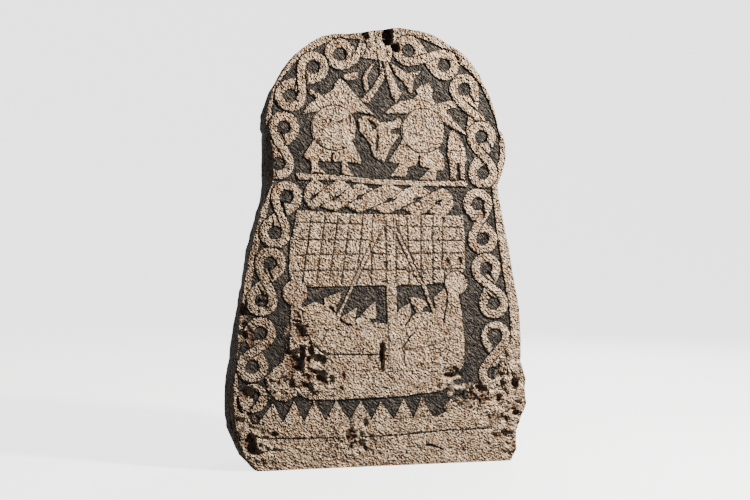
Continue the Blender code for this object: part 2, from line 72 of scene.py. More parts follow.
sight = Vector((math.sin(CAMERA_TURN), math.cos(CAMERA_TURN), 0))
camera = bpy.data.objects.new("camera", bpy.data.cameras.new("camera"))
camera.data.lens = LENS_MM
camera.location = Vector((CAMERA_AIM_X, FRONT, CAMERA_HEIGHT)) - sight * CAMERA_DISTANCE
camera.rotation_euler = (math.pi / 2, 0, -CAMERA_TURN)
bpy.context.scene.collection.objects.link(camera)
bpy.context.scene.camera = camera
print("camera at", [round(c, 3) for c in camera.location])

# %% [markdown]
# ## Sorting the faces of the solid
# A carved slab has few kinds of surface. The standing face is the plane that the mason started from. The
# ground lies behind it, the thin lines lie between the two, and upright walls join them. Breaks, flanks,
# back and base make up the rest. Each face gets its kind in an integer layer, which every later cut passes on
# to the new faces.

# %% Name the kind of every face
RELIEF = 3 * MM
LINE_DEPTH = 1.5 * MM
LEVEL = 0.3 * MM
BREAK_REACH = 26 * MM
FACE_ON, WALL_LEAN, BREAK_LEAN, TURNED_BACK = 0.99, 0.1, 0.05, -0.6
STAND, GROUND, LINE, WALL, BREAK, FLANK, BACK, BASE = range(8)
KINDS = ("stand", "ground", "line", "wall", "break", "flank", "back", "base")


def kind_of(face):
    """The kind of a face, from its depth behind the standing face and from how far it faces the front."""
    depths = [vert.co.y - FRONT for vert in face.verts]
    deepest, shallowest = max(depths), min(depths)
    facing = -face.normal.y
    if face.normal.z < -FACE_ON and face.calc_center_median().z < LEVEL:
        return BASE
    if facing < TURNED_BACK:
        return BACK
    for depth, kind in ((0, STAND), (LINE_DEPTH, LINE), (RELIEF, GROUND)):
        if facing > FACE_ON and abs(deepest - depth) < LEVEL and abs(shallowest - depth) < LEVEL:
            return kind
    if abs(facing) < WALL_LEAN and deepest < RELIEF + LEVEL:
        return WALL
    return BREAK if facing > BREAK_LEAN and deepest < BREAK_REACH else FLANK


SAME_POINT = 0.01 * MM
NO_LENGTH = 0.1 * MM
slab = bmesh.new()
slab.from_mesh(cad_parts[NODE].data)
bmesh.ops.remove_doubles(slab, verts=slab.verts, dist=SAME_POINT)
bmesh.ops.dissolve_degenerate(slab, dist=NO_LENGTH, edges=slab.edges)
bmesh.ops.triangulate(slab, faces=[face for face in slab.faces if len(face.verts) > 3])
kind = slab.faces.layers.int.new("kind")
for face in slab.faces:
    face[kind] = kind_of(face)
counts = np.bincount([face[kind] for face in slab.faces], minlength=len(KINDS))
print({name: int(count) for name, count in zip(KINDS, counts)})

# %% [markdown]
# ## Scratched lines
# The solid has the carving that shows from a step away. Thinner strokes are left to the skin: the crew's
# outlines, lines on the hull, a few scratches, and the wedge where a ribbon turns back on itself. Each stroke
# is its width at the start and at the end, its depth, and the points that it passes through, in millimetres.
# They are named before the mesh is refined, because a narrow groove needs short edges along it.

# %% Strokes
ARC_STEP = 20
UPPER_RIM = (-20, 200)


def arc(right, rise, radius, first, last):
    """Points every 20 degrees round a circle, between two turns in degrees."""
    turns = [math.radians(turn) for turn in range(first, last + 1, ARC_STEP)]
    return tuple((right + radius * math.cos(turn), rise + radius * math.sin(turn)) for turn in turns)


STROKES = (
    # the crew, the hull, the foot and a few scratches
    (3.5, 2.5, 1.6, ((-219, 440), (-214, 412), (-212, 396))),
    (3.2, 2.2, 1.6, ((-149, 381), (-157, 362), (-168, 342), (-173, 332))),
    (3.6, 2.2, 1.5, ((-80, 395), (-72, 386), (-58, 380))),
    (3.6, 2.8, 1.8, ((25, 398), (24, 372), (26, 345), (27, 320))),
    (3.6, 2.2, 1.8, ((75, 394), (76, 380), (76, 362), (71, 350))),
    (5.5, 4.0, 2.4, ((102, 372), (88, 362), (80, 348), (69, 334), (66, 328), (71, 312), (70, 290))),
    (2.8, 2.4, 1.4, ((72, 323), (92, 323), (108, 329), (135, 331), (150, 337), (162, 348))),
    (2.8, 2.0, 1.3, ((95, 323), (107, 314), (122, 304))),
    (3.6, 2.6, 1.6, ((174, 313), (188, 322), (193, 331))),
    (3.6, 2.4, 1.8, ((190, 325), (201, 321), (214, 311), (230, 308))),
    (4.0, 3.4, 1.8, ((190, 548), (187, 530), (188, 503))),
    (3.8, 2.4, 1.8, ((187, 404), (186, 394), (185, 384))),
    (5.0, 3.0, 2.0, ((179, 442), (187, 425))),
    (2.8, 2.8, 1.4, ((-122, 882), (-112, 868), (-121, 856))),
    (3.0, 2.2, 1.6, ((-59, 1190), (-64, 1178), (-70, 1165))),
    (3.2, 2.4, 1.8, ((-52, 1158), (-58, 1141))),
    (3.8, 2.6, 2.0, ((0, 1166), (-5, 1152), (-6, 1138), (1, 1123))),
    (10.0, 4.0, 4.0, ((136, 54), (158, 50), (188, 37))),
    (4.0, 2.0, 1.8, ((195, 86), (205, 74))),
    (2.6, 2.6, 1.0, ((14, 131), (60, 131), (118, 134), (176, 138))),
    (2.4, 2.4, 1.2, ((310, 979), (320, 975), (331, 968), (340, 962))),
    (2.8, 2.0, 1.3, ((287, 892), (279, 885))),
    # the plait's eyes
    (9, 4, 2.6, ((-194, 746), (-184, 754), (-173, 762))),
    (7, 4, 2.6, ((-133, 750), (-121, 753), (-110, 757))),
    (7, 4, 2.6, ((-64, 751), (-54, 755), (-45, 759))),
    (10, 5, 2.6, ((25, 743), (38, 746), (50, 753))),
    (11, 6, 2.6, ((101, 748), (112, 750), (122, 754))),
    (11, 6, 2.6, ((163, 740), (172, 743), (181, 748))),
    # the ribbon's wedges, from a loop's hole to the point where the strands meet
    (11, 3, 2.8, ((318, 541), (327, 530), (338, 514))),
    (10, 3, 2.8, ((327, 469), (319, 478), (309, 491))),
    (15, 11, 2.8, ((344, 266), (351, 274), (357, 286))),
    (12, 3, 2.8, ((-311, 553), (-306, 540), (-300, 524))),
    (9, 4, 2.8, ((-326, 484), (-333, 497), (-341, 510))),
    (9, 3, 2.8, ((-240, 1047), (-237, 1060), (-235, 1075))),
    (10, 3, 2.8, ((-276, 928), (-270, 915), (-263, 900))),
    (10, 3, 2.8, ((-273, 736), (-268, 723), (-262, 706))),
    (9, 3, 2.8, ((-300, 670), (-298, 684), (-300, 697))),
    (15, 5, 2.8, ((306, 921), (316, 911), (326, 897))),
    (8, 3, 2.8, ((262, 1048), (270, 1036), (279, 1020))),
    # the net and the mast where they reach the sail's top and left edges
    (3.0, 2.6, 1.4, ((-47, 709), (-47, 673))),
    (3.0, 2.6, 1.4, ((-19, 704), (-22, 656))),
    (3.2, 3.0, 1.5, ((12, 702), (16, 634))),
    (3.2, 3.0, 1.5, ((39, 702), (40, 634))),
    (3.0, 2.6, 1.4, ((78, 699), (79, 674))),
    (2.8, 2.6, 1.2, ((-238, 682), (-199, 682))),
    (2.8, 2.6, 1.4, ((-247, 634), (-215, 634))),
    (2.8, 2.6, 1.4, ((-251, 592), (-215, 591))),
    (2.8, 2.6, 1.4, ((-251, 547), (-210, 546))),
    # a chip in the net
    (5.0, 3.0, 1.8, ((151, 651), (151, 629))),
    # the upper rims of the two shields, and of the disc at the hull's stem
    (3.0, 3.0, 1.6, arc(-129, 946, 62, *UPPER_RIM)),
    (3.0, 3.0, 1.6, arc(126, 944, 62, *UPPER_RIM)),
    (4.4, 4.4, 2.4, arc(221, 513, 33, 20, 220)),
)
STROKE_STEP = 1.0


def along(points):
    """Points a millimetre apart along a stroke. A spline through all of its points rounds the corners, and
    each of its handles reaches a sixth of the way between the two neighbours."""
    ends = [Vector(point).to_3d() for point in points]
    ends = [2 * ends[0] - ends[1], *ends, 2 * ends[-1] - ends[-2]]
    for before, start, end, after in zip(ends, ends[1:], ends[2:], ends[3:]):
        steps = max(1, round((end - start).length / STROKE_STEP))
        for i in range(steps):
            knots = (start + (end - before) / 6, end - (after - start) / 6)
            yield from mathutils.geometry.interpolate_bezier(start, *knots, end, steps + 1)[i:i + 1]


stroke_points = []
for first_width, last_width, depth, points in STROKES:
    path = list(along(points))
    widths = np.linspace(first_width, last_width, len(path))
    stroke_points += [(point, width, depth) for point, width in zip(path, widths)]
stroke_tree = kdtree.KDTree(len(stroke_points))
for i, (point, _, _) in enumerate(stroke_points):
    stroke_tree.insert((point.x * MM, FRONT, point.y * MM), i)
stroke_tree.balance()
print(len(STROKES), "strokes,", len(stroke_points), "mm in all")

# %% [markdown]
# ## Mast and stays
# The mast and the two stays stand in front of the sail, so the net's lines stop at their outlines. The
# solid's lines cross them, because short pieces of line would cost it many triangles. The skin fills those
# crossings in again. Each bar is its middle at the top and at the foot, and half its clear width.

# %% Bars in front of the net
BARS = ((32.5, 690, 32.5, 511, 13.3), (4, 674, -75, 511, 5.2), (39, 678, 120, 511, 5.2))
BAR_EDGE = 1.5


def in_bar(x, z):
    """0 outside the bars, 1 well inside one, at every point x, z. Millimetres."""
    inside = np.zeros(len(x))
    for top_x, top_z, foot_x, foot_z, half in BARS:
        middle = foot_x + (top_x - foot_x) * (z - foot_z) / (top_z - foot_z)
        here = np.clip((half - abs(x - middle)) / BAR_EDGE, 0, 1)
        inside = np.maximum(inside, here * (z > foot_z) * (z < top_z))
    return inside


print(len(BARS), "bars")

# %% [markdown]
# ## Broken, hollow and dark places
# Some places need their own treatment. The hull's stern and the lower right are rough breaks, the crown is a
# pitted boss, and hollows with steep sides and a dark brown floor are scattered over the face. That brown is
# partly the stone's own and partly painted shade. Zones are ellipses: middle, half width, half height, tilt
# and strength. A hollow's last number is its depth. The dark zones are painted near-black: painted shade on
# the broken arris at the left shoulder, the lower left corner and the deep hole in the crown, and a lighter
# painted shade over the left of the face. The crown is darker as well. Those zones are ellipses too.

# %% Rough zones, hollows and dark zones
ROUGH = (
    (-225, 310, 60, 150, 5, 1.3), (-190, 240, 90, 50, -10, 1.2), (365, 130, 110, 150, 0, 1.0),
    (270, 190, 70, 60, 0, 1.2), (195, 245, 60, 40, 20, 1.1), (385, 250, 60, 120, 0, 0.7),
    (0, 1195, 80, 60, 0, 1.2), (-395, 420, 40, 90, 0, 0.9), (-385, 90, 60, 110, 0, 0.9),
    (-75, 85, 90, 70, 0, 1.0), (-290, 225, 50, 50, 0, 1.1), (60, 300, 120, 60, 0, 0.5),
    (0, 50, 420, 60, 0, 0.25), (400, 40, 60, 60, 0, 0.9), (-330, 60, 70, 70, 0, 0.8),
    (-328, 453, 45, 40, 0, 1.0), (263, 184, 34, 34, 0, 1.3), (219, 193, 40, 35, 0, 1.0),
)
HOLLOWS = (
    (-223, 378, 14, 20, 10, 6), (-235, 398, 9, 7, 0, 4), (-233, 410, 14, 6, -25, 4),
    (-228, 425, 6, 13, 20, 3), (-218, 320, 10, 32, 8, 6), (-241, 290, 30, 27, 15, 6),
    (-193, 333, 10, 25, 12, 6), (-200, 300, 7, 18, -10, 5), (-192, 275, 10, 19, 45, 6),
    (-199, 253, 20, 13, -20, 5), (-166, 250, 21, 11, -15, 6), (-207, 231, 15, 8, -35, 5),
    (-181, 210, 13, 11, 0, 4), (-152, 236, 12, 9, -30, 4), (-250, 264, 11, 12, 0, 5),
    (-256, 325, 7, 12, 0, 4), (-101, 251, 8, 18, -10, 4), (-108, 219, 8, 8, 0, 3), (-264, 208, 8, 9, 0, 3),
    (8, 316, 10, 42, 0, 6), (221, 266, 15, 8, -45, 5), (205, 250, 19, 7, -10, 4),
    (304, 206, 22, 12, -35, 6), (303, 178, 17, 17, 0, 6), (266, 190, 9, 19, 10, 4),
    (400, 217, 12, 22, 10, 5), (353, 182, 9, 12, 20, 3), (356, 163, 8, 8, 0, 3), (398, 155, 14, 14, -35, 4),
    (402, 134, 14, 10, 0, 4), (322, 126, 6, 13, 40, 3), (178, 222, 8, 7, 0, 3), (345, 72, 20, 9, -25, 4),
    (362, 78, 11, 11, 0, 3), (397, 48, 12, 11, 0, 4), (375, 118, 6, 17, 15, 3), (-378, 209, 14, 20, 20, 6),
    (-359, 72, 21, 39, 12, 7), (-343, 145, 11, 10, 0, 4), (-297, 100, 17, 11, 0, 5),
    (-314, 107, 8, 6, 0, 3), (-335, 48, 13, 8, 0, 4), (-325, 26, 6, 17, 30, 3), (-331, 72, 6, 7, 0, 3),
    (-81, 89, 21, 19, -20, 7), (-82, 58, 7, 19, -20, 3), (-40, 52, 6, 16, 10, 2.5),
    (24, 1212, 20, 40, 0, 10), (45, 1178, 14, 13, 10, 7), (-88, 1207, 13, 9, 0, 7),
    (-45, 1215, 13, 7, 25, 6), (-36, 1203, 7, 12, 0, 5), (-379, 444, 13, 23, 10, 4),
    (-363, 367, 15, 40, 10, 4), (197, 569, 9, 18, 20, 4), (234, 571, 8, 15, 0, 4), (300, 708, 9, 20, 0, 5),
    (-140, 965, 5, 8, 30, 3), (-116, 962, 5, 6, 30, 3), (-86, 974, 4, 7, 40, 2.5), (220, 521, 4, 5, 0, 2.5),
    (146, 945, 7, 5, -40, 3), (105, 930, 6, 7, 30, 3), (128, 912, 7, 6, 0, 3), (150, 937, 4, 4, 0, 2),
)
DARK = (
    (-335, 400, 190, 460, 8, 0.3), (0, 1228, 150, 75, 0, 0.5), (-312, 900, 20, 150, 0, 0.9),
    (-412, 70, 55, 150, -14, 0.8), (-372, 350, 60, 110, 0, 0.3), (24, 1212, 22, 40, 0, 0.8),
)
FINE_ABOVE = 0.6
ZONES = [zone[:5] for zone in ROUGH if zone[5] > FINE_ABOVE] + [hollow[:5] for hollow in HOLLOWS]
ZONES = np.array(ZONES)


def nearness(x, z, places, ragged=(0, 0)):
    """For each place, an ellipse: 1 in its middle and 0 on its outline, at every point x, z."""
    turns = np.radians(places[:, 4])[:, None]
    right = x + ragged[0] - places[:, 0][:, None]
    rise = z + ragged[1] - places[:, 1][:, None]
    u = (right * np.cos(turns) + rise * np.sin(turns)) / places[:, 2][:, None]
    v = (rise * np.cos(turns) - right * np.sin(turns)) / places[:, 3][:, None]
    return 1 - np.hypot(u, v)


print(len(ROUGH), "rough zones,", len(HOLLOWS), "hollows,", len(DARK), "dark zones")

# %% [markdown]
# ## A mesh fine enough to sculpt
# The solid's triangles are as long as its flat areas allow. Pits and worn edges need short ones. The longest
# edges are cut in half first, then the next longest, down to a length that suits each kind of surface. After
# each round Blender's beautify fill turns the edges inside a flat area, so that its triangles stay plump.
# Subdividing everything at once would be simpler, but it keeps every sliver a sliver. The carved face gets
# the shortest edges, because that is where people look, and the back the longest.

# %% Cut long edges down to size
LONGEST = {STAND: 7.5, GROUND: 9, LINE: 8, WALL: 8, BREAK: 4, FLANK: 11, BACK: 24, BASE: 26}
LONGEST_IN_ZONE = 3.8
LONGEST_AT_STROKE = 2.4
STROKE_REACH = 4.5 * MM
FLAT = (STAND, GROUND, LINE, BACK, BASE)
SAME_PLANE = 0.999
FIRST_STEP = 0.5
STEP_RATIO = 0.62
SLIVER_AREA = 0.01 * MM**2
SLIVER_TRIES = 3


def limits(edges):
    """The length in metres that each of these edges may keep."""
    longest = np.array([min(LONGEST[face[kind]] for face in edge.link_faces) for edge in edges])
    middles = np.array([(edge.verts[0].co + edge.verts[1].co) / 2 for edge in edges])
    x, z = middles[:, 0] / MM, middles[:, 2] / MM
    carved = longest < LONGEST[FLANK]
    in_zone = (nearness(x, z, ZONES) > 0).any(axis=0)
    longest[carved & in_zone] = LONGEST_IN_ZONE
    longest[(longest == LONGEST[LINE]) & (in_bar(x, z) > 0)] = LONGEST_AT_STROKE
    for i in np.flatnonzero(carved):
        if stroke_tree.find(middles[i])[2] < STROKE_REACH + edges[i].calc_length() / 2:
            longest[i] = LONGEST_AT_STROKE
    return longest * MM


def halve(edge):
    """Puts a vertex in the middle of an edge and joins it to the far corner of each triangle."""
    faces = list(edge.link_faces)
    corners = [next(vert for vert in face.verts if vert not in edge.verts) for face in faces]
    middle = bmesh.utils.edge_split(edge, edge.verts[0], 0.5)[1]
    for face, corner in zip(faces, corners):
        bmesh.utils.face_split(face, middle, corner)


def inside_flat(edge):
    """Whether an edge lies within one flat area, so that it may turn."""
    a, b = edge.link_faces
    return a[kind] == b[kind] and a[kind] in FLAT and a.normal.dot(b.normal) > SAME_PLANE


def open_slivers():
    """A triangle can be left with its three corners in line, and turning its longest edge opens it."""
    slivers = [face for face in slab.faces if face.calc_area() < SLIVER_AREA]
    for face in slivers:
        if not face.is_valid or face.calc_area() > SLIVER_AREA:
            continue
        edge = max(face.edges, key=lambda edge: edge.calc_length())
        near, far = [vert for side in edge.link_faces for vert in side.verts if vert not in edge.verts]
        if not any(other.other_vert(near) == far for other in near.link_edges):
            bmesh.utils.edge_rotate(edge)


step = FIRST_STEP
while step > LONGEST_AT_STROKE * MM * STEP_RATIO:
    long_edges = [edge for edge in slab.edges if edge.calc_length() > step]
    too_long = [
        (edge.calc_length(), edge.index, edge)
        for edge, most in zip(long_edges, limits(long_edges)) if edge.calc_length() > most
    ]
    for _, _, edge in sorted(too_long, reverse=True):
        halve(edge)
    slab.normal_update()
    slab.edges.index_update()
    # a list, because a set of edges comes in another order each time and the fill would turn out differently
    turning = [edge for edge in slab.edges if inside_flat(edge)]
    free = {vert for edge in turning for vert in edge.verts}
    free -= {vert for edge in set(slab.edges).difference(turning) for vert in edge.verts}
    bmesh.ops.beautify_fill(slab, faces=slab.faces, edges=turning, method="ANGLE")
    for _ in range(SLIVER_TRIES):
        open_slivers()
        slab.normal_update()
    bmesh.ops.smooth_vert(
        slab, verts=list(free), factor=0.5, use_axis_x=True, use_axis_y=False, use_axis_z=True
    )
    step *= STEP_RATIO
counts = np.bincount([face[kind] for face in slab.faces], minlength=len(KINDS))
print(len(slab.faces), "triangles:", {name: int(count) for name, count in zip(KINDS, counts)})

# %% [markdown]
# ## How stone wears
# A limestone face isn't flat. It undulates over a hand's breadth, it still shows the blows of the mason's
# point, and weather has opened small pits all over it. Each of these is a field: one depth in millimetres for
# every vertex. The fields are numpy arrays, so a whole surface is one short sum.

# %% Every vertex, as arrays
SEED = np.array((19.3, 4.7, 31.1))
CASTS = (7.3, 3.1, 5.7)
home = np.array([vert.co for vert in slab.verts])
normals = np.array([vert.normal for vert in slab.verts])
touches = np.zeros((len(KINDS), len(home)), bool)
for i, vert in enumerate(slab.verts):
    for face in vert.link_faces:
        touches[face[kind], i] = True
carved = touches[[STAND, GROUND, LINE, WALL, BREAK]].any(axis=0)
outside = touches[FLANK] | touches[BACK]
across, up = home[:, 0] / MM, home[:, 2] / MM
print(len(home), "vertices,", int(carved.sum()), "on the carved side")


def smoothstep(value):
    value = np.clip(value, 0, 1)
    return value * value * (3 - 2 * value)


def waves(size_mm, layer, stretch=(1, 1, 1)):
    """Smooth noise in [-1, 1] at every vertex, with bumps about this many millimetres across."""
    places = (home * stretch / (size_mm * MM) + SEED * (layer + 1)).tolist()
    return np.array([noise.noise(place) for place in places])


def pits(cell_mm, share, radius, layer):
    """Depth in [0, 1]: a round pit in this share of the cells, where the radius counts in cells."""
    places = (home / (cell_mm * MM) + SEED * (layer + 1)).tolist()
    nearest = [noise.voronoi(place) for place in places]
    distance = np.array([distances[0] for distances, _ in nearest])
    # a cell's chance decides whether it has a pit, and a rarer pit is a smaller one
    chance = np.array([0.5 + 0.5 * noise.cell(centres[0] * CASTS[0]) for _, centres in nearest])
    return np.where(chance < share, smoothstep(1 - distance / (radius * (0.55 + 0.9 * chance / share))), 0)


def chips(size_mm, layer):
    """Flat chips in about [-1, 1]: each Voronoi cell of this size has a level and a slope of its own."""
    places = home / (size_mm * MM) + SEED * (layer + 1)
    centres = [noise.voronoi(place)[1][0] for place in places.tolist()]
    cast = np.array([[noise.cell(centre * scale) for scale in CASTS] for centre in centres])
    offset = places - np.array(centres)
    return 0.6 * cast[:, 0] + 0.9 * (offset[:, 0] * cast[:, 1] + offset[:, 2] * cast[:, 2])


WANDER = 4
wander_x = WANDER * waves(13, 3) + WANDER * waves(32, 18)
wander_z = WANDER * waves(13, 4) + WANDER * waves(32, 19)


def weigh(places, steepness=1.0):
    """For each place, 1 at its middle, falling smoothly to 0 at its ragged rim, at every vertex."""
    places = np.array([place[:5] for place in places])
    return smoothstep(nearness(across, up, places, (wander_x, wander_z)) * steepness)


# %% [markdown]
# Now each zone is weighed at every vertex. The solid's own breaks are rough wherever they are. The left
# flank, turned away from the lamp, gets painted shade, nearly black, and the back is a little darker all
# over.

# %% Weigh the zones
LEFT_FACING = -0.2
SHADED_FLANK, DARK_BACK = 0.95, 0.1
MOST_ROUGH, BREAK_ROUGH = 1.4, 0.8
rough = np.minimum(np.array([zone[5] for zone in ROUGH]) @ weigh(ROUGH, steepness=1.5), MOST_ROUGH)
rough = np.where(touches[BREAK], np.maximum(rough, BREAK_ROUGH), rough)
sunk = weigh(HOLLOWS, steepness=2.0)
hollow_depth = np.array([hollow[5] for hollow in HOLLOWS]) @ sunk
hollow_floor = np.max(sunk, axis=0) * carved
dark = np.max(np.array([[zone[5]] for zone in DARK]) * weigh(DARK), axis=0)
dark = np.where(touches[BACK], DARK_BACK, dark)
# painted shade: the left flank, turned away from the lamp, is painted nearly black
dark = np.where(touches[FLANK] & ~carved & (normals[:, 0] < LEFT_FACING), SHADED_FLANK, dark)
print("deepest hollow", round(float(hollow_depth.max()), 1), "mm")

# %% [markdown]
# ## Grooves, edges and the rim
# Three distances shape the carving's edges. Near a stroke's middle line the face drops into a groove. Along
# the foot of every wall the mason cut deepest, so the ground sinks a little there, and the standing edge
# above it is worn round. The stone's own rim is rounded further.

# %% Distances to strokes, walls and rim


def tree_of(chosen):
    """The chosen vertices, ready for a search for the nearest."""
    tree = kdtree.KDTree(int(chosen.sum()))
    for i in np.flatnonzero(chosen):
        tree.insert(home[i], i)
    tree.balance()
    return tree


def gap_to(tree, chosen):
    """Millimetres from each chosen vertex to the nearest point of the tree, and FAR for the others."""
    gaps = np.full(len(home), FAR)
    for i in np.flatnonzero(chosen):
        gaps[i] = tree.find(home[i])[2] / MM
    return gaps


FAR = 1000.0
RIM_RADIUS = 7
CONTOUR_WIDTH = 6
WORN_WIDTH = 4
wall_foot = gap_to(tree_of(touches[WALL] & touches[GROUND]), touches[GROUND])
wall_top = gap_to(tree_of(touches[WALL] & touches[STAND]), touches[STAND])
rim_gap = gap_to(tree_of(touches[FLANK] & (home[:, 1] < FRONT + LEVEL)), carved)
contour = smoothstep(1 - wall_foot / CONTOUR_WIDTH)
worn = smoothstep(1 - wall_top / WORN_WIDTH)
rim = np.clip(RIM_RADIUS - rim_gap, 0, RIM_RADIUS)
rim_drop = RIM_RADIUS - np.sqrt(RIM_RADIUS**2 - rim**2)
groove, groove_depth = np.zeros(len(home)), np.zeros(len(home))
for i in np.flatnonzero(touches[STAND] | touches[GROUND]):
    point, nearest, gap = stroke_tree.find((home[i, 0], FRONT, home[i, 2]))
    _, width, depth = stroke_points[nearest]
    groove[i] = max(0, 1 - (2 * gap / (width * MM)) ** 2) if gap < width * MM else 0
    groove_depth[i] = depth * groove[i]
for name, field in (("in a groove", groove), ("by a wall's foot", contour), ("on the rim", rim)):
    print(name, int((field > 0).sum()))

# %% [markdown]
# ## Sculpting the skin
# The face sinks a little everywhere: long and short waves, two sizes of pits, crags where it is rough, and
# then the hollows, the grooves and the worn edges. Flanks and back get a coarser, split surface, and their
# arris toward the face is chipped. Every number here is a depth or a width in millimetres.

# %% Depths
small = pits(9, 0.6, 0.45, 0)
large = pits(27, 0.32, 0.34, 1)
depth = 1.2 + 1.5 * waves(170, 5) + 0.9 * waves(30, 6) + 0.8 * waves(15, 7) + 0.7 * waves(9, 8)
depth += (1.1 + 0.5 * rough) * small + (1.2 + 1.6 * rough) * large
crag = 3.0 + 4.6 * chips(34, 9) + 3.4 * chips(15, 10) + 2.4 * abs(waves(34, 21)) + 1.6 * waves(9, 20)
depth += rough * crag
depth *= np.where(touches[GROUND] & ~touches[WALL], 0.75, 1)
depth += hollow_depth + groove_depth + 0.9 * contour + 0.7 * worn + rim_drop
split = abs(waves(60, 11, (1, 0.45, 1)))
skin_depth = 3.2 * split + 1.6 * waves(24, 12) + 0.9 * waves(11, 13) + 1.8 * pits(22, 0.4, 0.4, 14)
arris = touches[FLANK] & carved
skin_depth += np.where(arris, 4.5 * np.maximum(chips(26, 22), 0) + 2.5 * abs(waves(12, 23)), 0)
print("mean depth of the face's wear", round(float(depth[carved].mean()), 1), "mm")

# %% [markdown]
# The carved side moves straight into the stone, so that its upright walls stay upright, and wavers a little
# sideways. Flanks and back move along their own normals. The underside stays flat, because the slab stands on
# it. Nothing leaves the solid's box.

# %% Move the vertices
WAVER = 0.7
filled = in_bar(across, up) * (home[:, 1] < FRONT + LINE_DEPTH + LEVEL) * carved
moved = home.copy()
moved[:, 1] -= filled * (home[:, 1] - FRONT)
moved[carved, 1] += np.maximum(depth[carved], 0) * MM
moved[carved, 0] += WAVER * waves(10, 16)[carved] * MM
moved[carved, 2] += WAVER * waves(10, 17)[carved] * MM
moved[outside] -= normals[outside] * skin_depth[outside, None] * MM
moved = np.clip(moved, low, high)
moved[touches[BASE], 2] = low.z
for vert, place in zip(slab.verts, moved):
    vert.co = place
print("net lines filled in at", int((filled > 0).sum()), "vertices")

# %% [markdown]
# ## What the material has to know
# Five numbers travel with each vertex as attributes: how much dark paint lies there, how broken the stone is,
# how deep a hollow, how strongly the contour was cut, and how dark the stone is made, mostly as painted
# shade.
# The material reads them by name. Paint lies in the ground, the lines and the grooves. It is thin in the
# sail's net, and gone from
# hollows and from much of the broken stone.

# %% Attributes
NET_HALF, NET_FOOT, NET_TOP = 256, 508, 718
NET_PAINT = 0.66
GROOVE_PAINT = 1.6
HIDDEN_BROKEN = 0.5
paint = np.where(touches[BREAK], 0, smoothstep((home[:, 1] - FRONT) / LINE_DEPTH) * carved)
paint *= 1 - filled
net = touches[LINE] & (abs(across) < NET_HALF) & (up > NET_FOOT) & (up < NET_TOP)
paint[net] *= NET_PAINT
paint = np.maximum(paint, smoothstep(groove * GROOVE_PAINT))
broken = np.where(carved, np.maximum(rough, touches[BREAK]), HIDDEN_BROKEN)
# painted shade: pits turn brown in proportion to their depth
pitted = np.where(carved, 0.45 * small + 0.6 * large, 0.1 * skin_depth)
worn_off = np.clip(rough, 0, 1) * smoothstep(0.5 + 1.5 * waves(22, 24))
marks = {
    "paint": paint * (1 - hollow_floor) * (1 - 0.8 * worn_off),
    "broken": broken,
    "hollow": np.minimum(hollow_floor + pitted, 1),
    "contour": contour,
    "dark": dark,
}
print({name: round(float(values.mean()), 2) for name, values in marks.items()})

# %% The skin object
slab.normal_update()
skin_mesh = bpy.data.meshes.new("picture_stone_skin")
slab.to_mesh(skin_mesh)
slab.free()
for name, values in marks.items():
    skin_mesh.attributes.new(name, "FLOAT", "POINT").data.foreach_set("value", values.astype(np.float32))
skin = bpy.data.objects.new("picture_stone_skin", skin_mesh)
bpy.context.scene.collection.objects.link(skin)
print("moved", len(home), "vertices, box", [round(side / MM) for side in skin.dimensions])

# %% [markdown]
# ## Fewer triangles, same shape
# The fine mesh has more triangles than the export keeps. A Decimate modifier takes them out where the stone
# is smooth and leaves them on edges and in pits. Edges sharper than an angle stay crisp, and the rest is
# shaded smooth.

# %% Decimate
MOST_TRIANGLES = 196_000
CRISP_ANGLE = math.radians(40)
thin = skin.modifiers.new("fewer triangles", "DECIMATE")
thin.ratio = min(1, MOST_TRIANGLES / len(skin_mesh.polygons))
graph = bpy.context.evaluated_depsgraph_get()
fewer = bpy.data.meshes.new_from_object(skin.evaluated_get(graph))
skin.modifiers.clear()
skin.data = fewer
for polygon in fewer.polygons:
    polygon.use_smooth = True
fewer.set_sharp_from_angle(angle=CRISP_ANGLE)
print(len(fewer.polygons), "triangles kept, attributes", [a.name for a in fewer.attributes])

# %% [markdown]
# ## Materials as written sums
# A material here is a formula over the surface. Each shader socket is wrapped in a small class, so that
# a + b or 1 - mask adds the Math node for it, and one method makes every other kind of node.

# %% A number in a shader
class Signal:
    """A socket that carries a number. Arithmetic on it adds Math nodes."""

    def __init__(self, shader, socket):
        self.shader, self.socket = shader, socket

    def math(self, operation, first, second):
        return self.shader.node("Math", {"operation": operation}, {0: first, 1: second})

    def __add__(self, other):
        return self.math("ADD", self, other)

    def __mul__(self, other):
        return self.math("MULTIPLY", self, other)

    def __sub__(self, other):
        return self.math("SUBTRACT", self, other)

    def __rsub__(self, other):
        return self.math("SUBTRACT", other, self)

    __radd__ = __add__
    __rmul__ = __mul__

    def ramp(self, low, high):
        """0 below low, 1 above high, and a smooth rise between."""
        settings = {"interpolation_type": "SMOOTHSTEP"}
        return self.shader.node("MapRange", settings, {"Value": self, "From Min": low, "From Max": high})


# %% A material, node by node
class Shader:
    """Builds one material, node by node."""

    def __init__(self, name):
        self.material = bpy.data.materials.new(name)
        self.material.use_nodes = True
        self.tree = self.material.node_tree
        self.surface = self.tree.nodes["Principled BSDF"]

    def feed(self, socket, value):
        """Links a signal to a socket, or sets the socket's own value."""
        if isinstance(value, Signal):
            self.tree.links.new(value.socket, socket)
        else:
            socket.default_value = value

    def node(self, kind, settings, sockets, output=0):
        """Any node: its settings come first, because they decide which sockets it has."""
        made = self.tree.nodes.new("ShaderNode" + kind)
        for name, value in settings.items():
            setattr(made, name, value)
        for name, value in sockets.items():
            self.feed(made.inputs[name], value)
        return Signal(self, made.outputs[output])

    def mix(self, factor, first, second):
        """Two colours, mixed by a number."""
        return self.node("Mix", {"data_type": "RGBA"}, {0: factor, 6: first, 7: second}, output=2)
